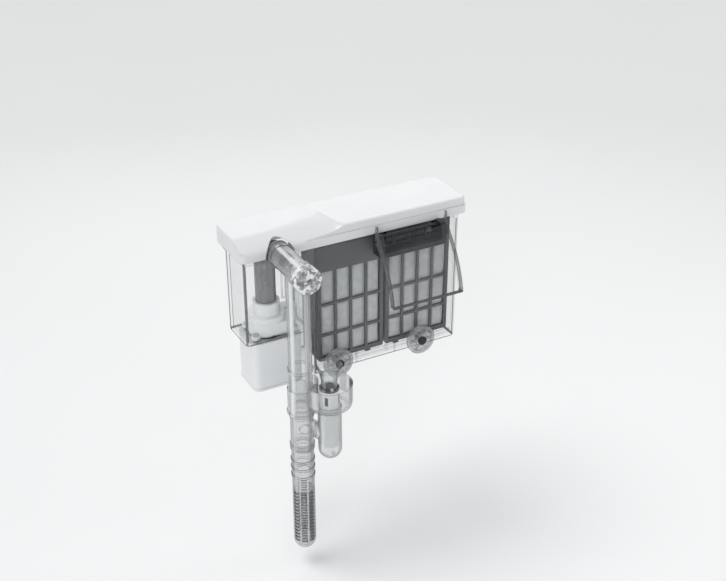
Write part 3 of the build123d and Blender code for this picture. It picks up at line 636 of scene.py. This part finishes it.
# --------------------------------------------------------- CAD pieces: smooth shading
def smooth_group():
    """Geometry nodes that weld the mesh and smooth every edge under 32 degrees."""
    group = bpy.data.node_groups.new("soft_edges", "GeometryNodeTree")
    for direction in ("INPUT", "OUTPUT"):
        group.interface.new_socket(
            "Geometry", in_out=direction, socket_type="NodeSocketGeometry")
    add = group.nodes.new
    link = group.links.new
    start = add("NodeGroupInput")
    end = add("NodeGroupOutput")
    weld = add("GeometryNodeMergeByDistance")
    weld.inputs["Distance"].default_value = 0.000001
    faces = add("GeometryNodeSetShadeSmooth")
    faces.domain = "FACE"
    edges = add("GeometryNodeSetShadeSmooth")
    edges.domain = "EDGE"
    angle = add("GeometryNodeInputMeshEdgeAngle")
    shallow = add("FunctionNodeCompare")
    shallow.data_type = "FLOAT"
    shallow.operation = "LESS_THAN"
    shallow.inputs[1].default_value = math.radians(32)
    link(start.outputs[0], weld.inputs[0])
    link(weld.outputs[0], faces.inputs[0])
    link(faces.outputs[0], edges.inputs[0])
    link(angle.outputs[0], shallow.inputs[0])
    link(shallow.outputs[0], edges.inputs["Shade Smooth"])
    link(edges.outputs[0], end.inputs[0])
    return group


def soften(piece, group):
    piece.modifiers.new("soft_edges", "NODES").node_group = group
    weighted = piece.modifiers.new("flat_faces", "WEIGHTED_NORMAL")
    weighted.mode = "FACE_AREA"
    weighted.weight = 80
    weighted.keep_sharp = True


soft_edges = smooth_group()
slot_of = {part["node"]: part["material_slot"] for part in frame["record"]["subparts"]}
for name, piece in frame["nodes"].items():
    piece.data.materials.clear()
    piece.data.materials.append(MATERIALS[OWN_MATERIAL.get(name, slot_of[name])])
    soften(piece, soft_edges)


# ------------------------------------------------------------------ cartridge pads
# Openings of the cartridge cage, in mm
CAGE_WIDTH = 53.6
CAGE_BORDER = 2.6
CAGE_BAR = 1.9
CAGE_COLUMNS = 4
CAGE_ROWS = ((-50.6, -24.6), (-75.6, -52.5), (-94.8, -77.5))  # bottom, top
ROW_DATUM = 15  # height the rows are measured from

PAD_INSET = 0.35 * MM
PAD_RIM = 1.5 * MM  # width of the rounded rim
PAD_LAYERS = 5
CUT_WOBBLE = 0.25 * MM
STEP = 0.8 * MM


def cage_cells(tag):
    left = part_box("cart_%s_front_frame" % tag)[0][0]
    bars = (CAGE_COLUMNS - 1) * CAGE_BAR
    width = (CAGE_WIDTH - 2 * CAGE_BORDER - bars) / CAGE_COLUMNS
    cells = []
    for column in range(CAGE_COLUMNS):
        x0 = left + (CAGE_BORDER + column * (width + CAGE_BAR)) * MM
        for z0, z1 in CAGE_ROWS:
            cells.append((x0, x0 + width * MM, (z0 + ROW_DATUM) * MM, (z1 + ROW_DATUM) * MM))
    return cells


def bulge(x, z, cells):
    """1 well inside an opening, easing to 0 at its sides."""
    ease_x = 2.6 * MM
    ease_z = 3.0 * MM
    best = 0.0
    for x0, x1, z0, z1 in cells:
        if x0 < x < x1 and z0 < z < z1:
            across = min(x - x0, x1 - x) / ease_x
            up = min(z - z0, z1 - z) / ease_z
            share = min(across, 1.0) * min(up, 1.0)
            best = max(best, share * share * (3 - 2 * share))
    return best


def add_piece(name, bm, body, slot):
    mesh = bpy.data.meshes.new(name)
    bm.normal_update()
    bm.to_mesh(mesh)
    bm.free()
    for polygon in mesh.polygons:
        polygon.use_smooth = True
    piece = bpy.data.objects.new(name, mesh)
    scene.collection.objects.link(piece)
    mesh.materials.append(MATERIALS[slot])
    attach(piece, body)
    return piece


def soft_slab(name, node, tag, slot, facing, swell, roughness, step, seed, lump=0.0):
    """A closed soft block the size of its CAD solid, with a rounded rim and lofted surface.

    The side at facing (-1 front, 1 back, 0 neither) swells into the cage's openings.
    """
    inset = Vector((PAD_INSET, PAD_INSET, PAD_INSET))
    low, high = [Vector(corner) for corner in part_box(node)]
    low = low + inset
    high = high - inset
    middle = (high.y + low.y) / 2
    nx = max(2, int((high.x - low.x) / step))
    nz = max(2, int((high.z - low.z) / step))
    ny = PAD_LAYERS
    cells = cage_cells(tag)

    def place(i, j, k):
        x = low.x + (high.x - low.x) * i / nx
        z = low.z + (high.z - low.z) * k / nz
        depth = j / ny
        y = low.y + (high.y - low.y) * depth
        to_edge = min(x - low.x, high.x - x, z - low.z, high.z - z)
        pull = 1.0
        if to_edge < PAD_RIM:
            q = 1 - to_edge / PAD_RIM
            pull = math.sqrt(max(1 - q * q, 0.0)) * 0.55 + 0.45
        y = middle + (y - middle) * pull

        # fibre relief from three sizes of noise, sampled in mm
        point = Vector((x, y, z)) * 1000
        medium = noise.noise(point * 0.9 + Vector((seed, 0, 0)))
        coarse = noise.noise(point * 0.28 + Vector((0, seed, 0)))
        fine = noise.noise(point * 2.1 + Vector((0, 0, seed)))
        height = roughness * (0.6 * medium + 0.5 * coarse + 0.35 * fine)
        if lump:
            nearest = noise.voronoi(point * 0.62 + Vector((seed, seed, 0)))[0][0]
            height += lump * (0.55 - min(nearest, 1.0))
        side = -1 if depth < 0.5 else 1
        if side == facing:
            push = bulge(x, z, cells)
            height += swell * push
            height = max(height, -0.25 * MM) if push > 0 else min(height, 0.12 * MM)
        else:
            height = min(height, 0.15 * MM)
        y += side * (abs(depth - 0.5) * 2) * height

        # uneven cut edges
        if i in (0, nx):
            x += CUT_WOBBLE * noise.noise(point * 0.7) * (1 if i == 0 else -1)
        if k in (0, nz):
            z += CUT_WOBBLE * noise.noise(point * 0.7) * (1 if k == 0 else -1)
        return (x, y, z)

    bm = bmesh.new()
    grid = {}

    def quad(*corners):
        for corner in corners:
            if corner not in grid:
                grid[corner] = bm.verts.new(place(*corner))
        bm.faces.new([grid[corner] for corner in corners])

    for i in range(nx):
        for k in range(nz):
            quad((i, 0, k), (i + 1, 0, k), (i + 1, 0, k + 1), (i, 0, k + 1))
            quad((i, ny, k), (i, ny, k + 1), (i + 1, ny, k + 1), (i + 1, ny, k))
    for j in range(ny):
        for i in range(nx):
            quad((i, j, 0), (i, j + 1, 0), (i + 1, j + 1, 0), (i + 1, j, 0))
            quad((i, j, nz), (i + 1, j, nz), (i + 1, j + 1, nz), (i, j + 1, nz))
        for k in range(nz):
            quad((0, j, k), (0, j, k + 1), (0, j + 1, k + 1), (0, j + 1, k))
            quad((nx, j, k), (nx, j + 1, k), (nx, j + 1, k + 1), (nx, j, k + 1))
    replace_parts(add_piece(name, bm, "cartridge_" + tag, slot), node)


for n, tag in enumerate("ab"):
    for side, facing, seed in (("front", -1, 3.1), ("back", 1, 5.7)):
        soft_slab("floss_%s_%s" % (tag, side), "cart_%s_%s_pad" % (tag, side), tag,
                  "pad_fibre", facing, swell=0.95 * MM, roughness=0.45 * MM,
                  step=STEP, seed=seed + 7 * n)
    soft_slab("carbon_%s" % tag, "cart_%s_carbon" % tag, tag, "carbon_bag", facing=0,
              swell=0.0, roughness=0.3 * MM, step=STEP * 1.3, seed=9.3 + 7 * n,
              lump=0.5 * MM)


# -------------------------------------------------------------------------- studio
FLOOR_RADIUS = 6.0
FLOOR_SIDES = 96
FLOOR_GAP = 0.0135  # below the lowest CAD point

box_low, box_high = [Vector(corner) for corner in cad_box]
box_middle = (box_low + box_high) / 2


def add_floor():
    z = box_low.z - FLOOR_GAP
    bm = bmesh.new()
    ring = []
    for i in range(FLOOR_SIDES):
        angle = 2 * math.pi * i / FLOOR_SIDES
        x = FLOOR_RADIUS * math.cos(angle)
        ring.append(bm.verts.new((x, FLOOR_RADIUS * math.sin(angle), z)))
    bm.faces.new(ring)
    mesh = bpy.data.meshes.new("studio_floor")
    bm.to_mesh(mesh)
    bm.free()
    floor = bpy.data.objects.new("studio_floor", mesh)
    scene.collection.objects.link(floor)
    mesh.materials.append(ground("floor_pale", (0.79, 0.792, 0.795)))


def add_world():
    """One even light for the scene and a paler backdrop for the camera."""
    world = bpy.data.worlds.new("studio")
    scene.world = world
    world.use_nodes = True
    nodes = world.node_tree.nodes
    link = world.node_tree.links.new
    nodes.clear()
    output = nodes.new("ShaderNodeOutputWorld")

    def background(colour, strength):
        node = nodes.new("ShaderNodeBackground")
        node.inputs["Color"].default_value = (*colour, 1)
        node.inputs["Strength"].default_value = strength
        return node.outputs[0]

    light = background((0.93, 0.945, 0.96), strength=0.57)
    backdrop = background((0.90, 0.905, 0.91), strength=0.80)
    path = nodes.new("ShaderNodeLightPath")
    mix = nodes.new("ShaderNodeMixShader")
    link(path.outputs["Is Camera Ray"], mix.inputs[0])
    link(light, mix.inputs[1])
    link(backdrop, mix.inputs[2])
    link(mix.outputs[0], output.inputs[0])


def add_aimed(name, data, direction, location=(0, 0, 0)):
    """Place a light or camera so that it looks along direction."""
    item = bpy.data.objects.new(name, data)
    item.location = location
    item.rotation_euler = direction.to_track_quat("-Z", "Y").to_euler()
    scene.collection.objects.link(item)
    return item


def add_sun():
    """Soft key light from above, left and behind."""
    sun = bpy.data.lights.new("key", "SUN")
    sun.energy = 1.45
    sun.angle = math.radians(38)
    sun.color = (1.0, 0.992, 0.975)
    add_aimed("key", sun, Vector((0.34, -0.22, -0.92)))


def add_area(name, offset, size, power, colour=(1, 1, 1)):
    """A rectangular lamp at an offset from the middle of the CAD box, aimed at it."""
    light = bpy.data.lights.new(name, "AREA")
    light.shape = "RECTANGLE"
    light.size, light.size_y = size
    light.energy = power
    light.color = colour
    light.spread = math.radians(100)
    location = box_middle + Vector(offset)
    add_aimed(name, light, box_middle - location, location)


def add_camera():
    """Camera in front, to the left and above."""
    azimuth = math.radians(-28.5)
    elevation = math.radians(28.5)
    distance = 0.85
    view_width = 0.5185714286  # at the aim point
    aim = Vector((-0.0385, 0.000, -0.0247))
    back = Vector((math.sin(azimuth) * math.cos(elevation),
                   -math.cos(azimuth) * math.cos(elevation),
                   math.sin(elevation)))
    camera = bpy.data.cameras.new("camera")
    camera.sensor_fit = "HORIZONTAL"
    camera.sensor_width = 36.0
    camera.lens = camera.sensor_width * distance / view_width
    camera.clip_start = 0.05
    camera.clip_end = 50
    scene.camera = add_aimed("camera", camera, -back, aim + back * distance)


add_floor()
add_world()
add_sun()
add_area("front", (-0.85, -1.05, 0.62), size=(0.55, 0.80), power=2.0,
         colour=(0.97, 0.985, 1.0))
add_area("side", (0.95, -0.35, 0.30), size=(0.35, 0.8), power=0.6)
add_area("rim", (0.35, 0.95, 0.45), size=(0.9, 0.4), power=0.6)
add_camera()

scene.cycles.transparent_max_bounces = 32
scene.cycles.max_bounces = 8
scene.view_settings.view_transform = "Standard"
scene.view_settings.look = "None"
scene.view_settings.exposure = 0.0

bpy.context.view_layer.update()
